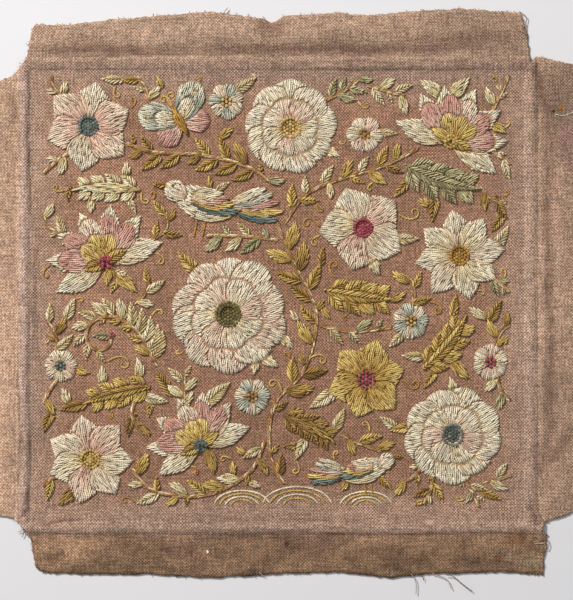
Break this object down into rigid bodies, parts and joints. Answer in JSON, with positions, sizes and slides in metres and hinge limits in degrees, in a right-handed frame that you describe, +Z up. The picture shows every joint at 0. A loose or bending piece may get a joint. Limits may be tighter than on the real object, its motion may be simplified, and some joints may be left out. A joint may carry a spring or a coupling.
{
  "type": "crewel embroidery panel",
  "caption": "Linen panel with four turn-unders and pressed ridges round a field of crewel flowers, leaves, stems and birds in low wool relief.",
  "frame": {"origin": "middle of the panel's underside, on the surface that it lies on", "axes": "+X to the right and +Y to the top of the picture seen from above, +Z up out of the worked face"},
  "size_m": [0.3542, 0.3294, 0.0033],
  "materials": {
    "linen": "matt plain weave, aged mauve brown",
    "wool_pale": "matt crewel wool, cream and ecru",
    "wool_rose": "matt crewel wool, faded pinks",
    "wool_gold": "matt crewel wool, golds and ochres",
    "wool_green": "matt crewel wool, olive and sage"
  },
  "bodies": {
    "root": {"big_leaf_1": "wool_gold", "big_leaf_2": "wool_green", "big_leaf_3": "wool_gold", "big_leaf_4": "wool_green", "big_leaf_5": "wool_gold", "big_leaf_6": "wool_pale", "bird_perched": "wool_pale", "bird_standing": "wool_pale", "bloom_east": "wool_pale", "bloom_inner_east": "wool_pale", "bloom_inner_south": "wool_gold", "bloom_middle": "wool_rose", "bloom_north_east": "wool_rose", "bloom_north_west": "wool_rose", "bloom_south": "wool_rose", "bloom_south_east": "wool_pale", "bloom_south_west": "wool_pale", "bloom_summit": "wool_pale", "bloom_west": "wool_rose", "butterfly": "wool_gold", "daisy_1": "wool_pale", "daisy_2": "wool_pale", "daisy_3": "wool_pale", "daisy_4": "wool_pale", "daisy_5": "wool_pale", "daisy_6": "wool_pale", "ground_cloth": "linen", "scroll_leaf": "wool_pale", "spray_east": "wool_green", "spray_north_east": "wool_gold", "spray_north_west": "wool_green", "spray_south_east": "wool_gold", "spray_south_west": "wool_gold", "spray_west": "wool_green", "trunk": "wool_green"}
  },
  "joints": []
}
